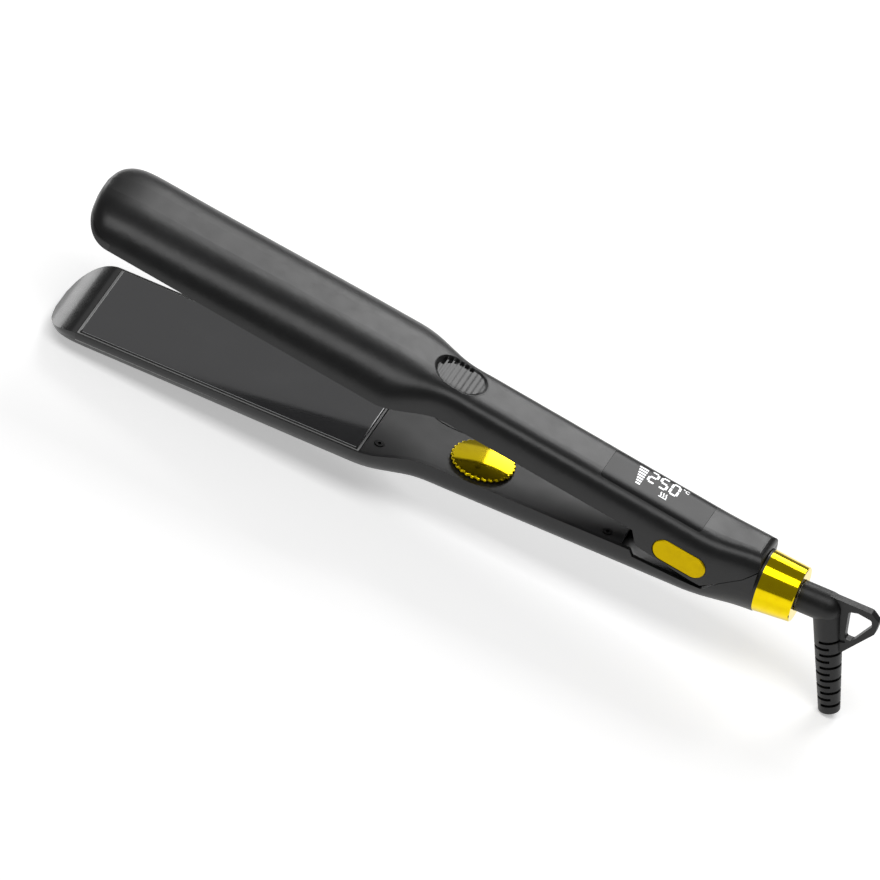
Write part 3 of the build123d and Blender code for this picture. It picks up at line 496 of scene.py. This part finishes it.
def cooling_scoop():
    """Rings from the middle out to the outline, then down the wall and under."""
    rings = np.concatenate([np.linspace(0.0, 0.66, 34), np.linspace(0.67, 1.0, 44)])
    turn = np.linspace(0.0, 2 * np.pi, 320, endpoint=False)
    reach, angle = np.meshgrid(rings, turn, indexing="ij")
    straight = SCOOP_LONG - SCOOP_WIDE
    x = SCOOP_WIDE * np.cos(angle) + straight * np.clip(4 * np.cos(angle), -1, 1)
    x = SCOOP_MIDDLE + reach * x
    y = SCOOP_WIDE * reach * np.sin(angle)
    z, slot_shade = scoop_height(x, y, reach)
    z = z + SCOOP_LIP
    top = np.stack([x, y, z], axis=-1)
    foot = top[-1].copy()
    middle = np.array([SCOOP_MIDDLE, 0.0])
    foot[:, :2] = (foot[:, :2] - middle) * FOOT_TAPER + middle
    foot[:, 2] = skin(foot[:, 0], foot[:, 1]) - SCOOP_FOOT
    under = foot.copy()
    under[:, :2] = middle
    under[:, 2] = foot[:, 2].min()
    grid = np.concatenate([top, foot[None], under[None]], axis=0)
    made = surface("cooling_scoop", [on_upper(grid)], closed=True)
    # The slot mask is stored on the points and drives the painted shade in the slots.
    marks = np.concatenate([slot_shade, np.zeros((2, slot_shade.shape[1]))]).reshape(-1)
    made.data.attributes.new("slot_shade", "FLOAT", "POINT").data.foreach_set("value", marks)
    return made


scoop = cooling_scoop()
scoop_finish = Finish("scoop_black")
slot_shade_wire = scoop_finish.node("Attribute", {"attribute_name": "slot_shade"}, output="Fac")
scoop_grain = scoop_finish.noise(0.00022, 2.0)
scoop_base = scoop_finish.blend(
    scoop_grain, (0.0040, 0.0040, 0.0042), (0.0062, 0.0062, 0.0065)
)
# Near black and rougher where the slots are: painted shade standing in for the holes' dark
# insides.
scoop.data.materials.append(
    scoop_finish.paint(
        base_color=scoop_finish.blend(slot_shade_wire, scoop_base, (0.0008, 0.0008, 0.0008)),
        roughness=0.28 + 0.06 * scoop_grain + 0.5 * slot_shade_wire,
        normal=scoop_finish.bump(scoop_grain, 5e-6),
    )
)
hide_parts("vent_grille")
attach(scoop, "upper_arm")

# ----------------------------------------------------------------------- cord boot
# The strain relief is one soft rubber moulding, matt and slightly chalky on its
# ridges, as are the two bumpers that stop the arms.
def rubber():
    """Soft black rubber with pores and a chalky bloom."""
    finish = Finish("rubber_black", {"Specular IOR Level": 0.45})
    bloom = finish.ramp(finish.noise(0.003, 5.0, rough=0.65), 0.45, 0.8)
    pores = finish.noise(0.0003, 3.0, rough=0.6)
    return finish.paint(
        base_color=finish.blend(bloom, (0.0025, 0.0025, 0.0025), (0.006, 0.006, 0.0062)),
        roughness=0.36 + 0.10 * bloom + 0.08 * pores,
        normal=finish.bump(pores, 1.2e-5),
    )


rubber_black = rubber()
dress(rubber_black, "cord_boot", "arm_bumpers")


# ------------------------------------------------- works inside the arms and hinge
# Steel pins, springs and screws, copper rings, ceramic heaters, mica sheets and the
# boards. Little of it shows, but each part has the finish of its own material.
def metal(name, dark, light, rough):
    """Bare metal with drawing lines and a faint oxide cloud."""
    finish = Finish(name)
    lines = finish.noise(0.00025, 3.0)
    oxide = finish.ramp(finish.noise(0.003, 4.0), 0.4, 0.8)
    return finish.paint(
        base_color=finish.blend(oxide, light, dark),
        roughness=rough + 0.12 * oxide + 0.06 * lines,
        metallic=1.0,
        normal=finish.bump(lines, 3e-6),
    )


steel = metal("steel", (0.38, 0.37, 0.35), (0.58, 0.58, 0.57), 0.24)
copper = metal("copper", (0.48, 0.20, 0.09), (0.75, 0.36, 0.20), 0.28)
black_screw = metal("black_screw", (0.02, 0.02, 0.02), (0.05, 0.05, 0.05), 0.32)
ceramic = moulded("ceramic", (0.62, 0.60, 0.55), (0.74, 0.72, 0.68), 0.45, 8e-6)
mica = moulded("mica", (0.42, 0.36, 0.26), (0.60, 0.54, 0.42), 0.30, 1e-5, grain=0.0012)
board_green = moulded("board_green", (0.01, 0.10, 0.035), (0.02, 0.16, 0.06), 0.32, 6e-6)
grey_plastic = moulded("grey_plastic", (0.10, 0.10, 0.105), (0.15, 0.15, 0.155), 0.40, 8e-6)
white_plastic = moulded("white_plastic", (0.66, 0.65, 0.61), (0.78, 0.77, 0.74), 0.38, 8e-6)
WORKS = {
    "hinge_bracket": steel,
    "hinge_clips": steel,
    "hinge_pin": steel,
    "hinge_spring": steel,
    "button_spring": steel,
    "dial_shaft": steel,
    "swivel_barrel": steel,
    "thermal_fuse": steel,
    "slip_rings": copper,
    "lower_cover_screws": black_screw,
    "upper_cover_screws": black_screw,
    "hinge_block": grey_plastic,
    "brush_block": grey_plastic,
    "dial_encoder": grey_plastic,
    "tact_switch": grey_plastic,
    "swivel_bush": white_plastic,
    "display_module": white_plastic,
    "control_board": board_green,
    "dial_board": board_green,
    "switch_board": board_green,
}
for arm in ("lower", "upper"):
    WORKS[arm + "_heater"] = ceramic
    WORKS[arm + "_insulation"] = mica
    WORKS[arm + "_heater_clamp"] = grey_plastic
    WORKS[arm + "_plate_springs"] = steel
    WORKS[arm + "_sensor"] = ceramic
for name, material in WORKS.items():
    dress(material, name)


# ----------------------------------------------------------------- studio and view
# A white table under four soft boxes. The far one draws the broad highlight on the
# crown, the front one the band along the shoulder, the dim plate box gives the lower
# plate its even grey, and the low tip box brightens the nose.
def table_top():
    """Plain white laminate that glows a little, so that it stays white when lit softly."""
    finish = Finish("table_white", {"Emission Strength": 0.42})
    cloud = finish.noise(0.4, 2.0)
    return finish.paint(
        base_color=finish.blend(cloud, (0.90, 0.90, 0.90), (0.92, 0.92, 0.92)),
        roughness=0.6 + 0.1 * cloud,
        emission_color=finish.blend(cloud, (0.98, 0.98, 0.98), (1.0, 1.0, 1.0)),
    )


TABLE_REACH = 24.0
span = np.linspace(-TABLE_REACH, TABLE_REACH, 13)
table_x, table_y = np.meshgrid(span, span, indexing="ij")
table_grid = np.stack([table_x, table_y, np.zeros_like(table_x)], axis=-1)
table = surface("studio_table", [table_grid])
table.data.materials.append(table_top())


def soft_box(name, place, aim, long, wide, power):
    """Area light at place, turned towards aim, with its long side along x."""
    lamp = bpy.data.lights.new(name, "AREA")
    lamp.shape = "RECTANGLE"
    lamp.size, lamp.size_y, lamp.energy = long, wide, power
    made = bpy.data.objects.new(name, lamp)
    back = (Vector(place) - Vector(aim)).normalized()
    side = Vector((1.0, 0.0, 0.0))
    side = (side - back * side.dot(back)).normalized()
    turn = Matrix((side, back.cross(side), back)).transposed()
    made.matrix_world = Matrix.Translation(place) @ turn.to_4x4()
    made.visible_camera = False
    bpy.context.scene.collection.objects.link(made)


soft_box("far_box", (0.06, 1.05, 0.84), (0.06, 0.0, 0.0), 0.66, 0.62, 6.0)
soft_box("plate_box", (-0.46, 1.05, 0.74), (-0.1, 0.0, 0.0), 0.34, 0.5, 0.18)
soft_box("tip_box", (-0.95, 1.05, 0.16), (-0.15, 0.0, 0.03), 0.5, 0.34, 1.6)
soft_box("front_box", (-0.1, -0.40, 1.25), (0.0, 0.0, 0.0), 1.6, 0.62, 8.5)

ROOM_GLOW, BACKDROP_GLOW = 0.17, 1.0
world = bpy.data.worlds.new("studio")
world.use_nodes = True
sky = world.node_tree.nodes["Background"]
sky.inputs["Color"].default_value = (1.0, 1.0, 1.0, 1.0)
rays = world.node_tree.nodes.new("ShaderNodeLightPath")
glow = world.node_tree.nodes.new("ShaderNodeMapRange")
glow.inputs["To Min"].default_value = ROOM_GLOW
glow.inputs["To Max"].default_value = BACKDROP_GLOW
world.node_tree.links.new(rays.outputs["Is Camera Ray"], glow.inputs["Value"])
world.node_tree.links.new(glow.outputs["Result"], sky.inputs["Strength"])
bpy.context.scene.world = world

# A long lens far off, above the iron's near side and rolled so that the iron hangs
# down to the right. Angles are in the iron's own axes.
AZIMUTH, ELEVATION, ROLL = np.radians((11.292, 35.882, 16.205))
AIM = 0.150
SHIFT_RIGHT, SHIFT_UP = 0.00289, -0.00015
VIEW_WIDTH, DISTANCE = 0.32617, 10.0
back = np.array([
    np.sin(AZIMUTH) * np.cos(ELEVATION),
    -np.cos(AZIMUTH) * np.cos(ELEVATION),
    np.sin(ELEVATION),
])
level = np.array([np.cos(AZIMUTH), np.sin(AZIMUTH), 0.0])
upright = np.cross(back, level)
right = level * np.cos(ROLL) + upright * np.sin(ROLL)
up = upright * np.cos(ROLL) - level * np.sin(ROLL)
eye = np.array([AIM, 0.0, 0.0]) + right * SHIFT_RIGHT + up * SHIFT_UP + back * DISTANCE
camera = bpy.data.cameras.new("camera")
camera.sensor_width = 36.0
camera.lens = camera.sensor_width * DISTANCE / VIEW_WIDTH
camera.clip_start, camera.clip_end = 0.1, 60.0
camera_object = bpy.data.objects.new("camera", camera)
turn = Matrix([Vector(axis @ AXES) for axis in (right, up, back)]).transposed()
camera_object.matrix_world = Matrix.Translation(on_lower(eye)) @ turn.to_4x4()
bpy.context.scene.collection.objects.link(camera_object)
bpy.context.scene.camera = camera_object
bpy.context.scene.view_settings.view_transform = "Standard"
bpy.context.scene.view_settings.look = "None"
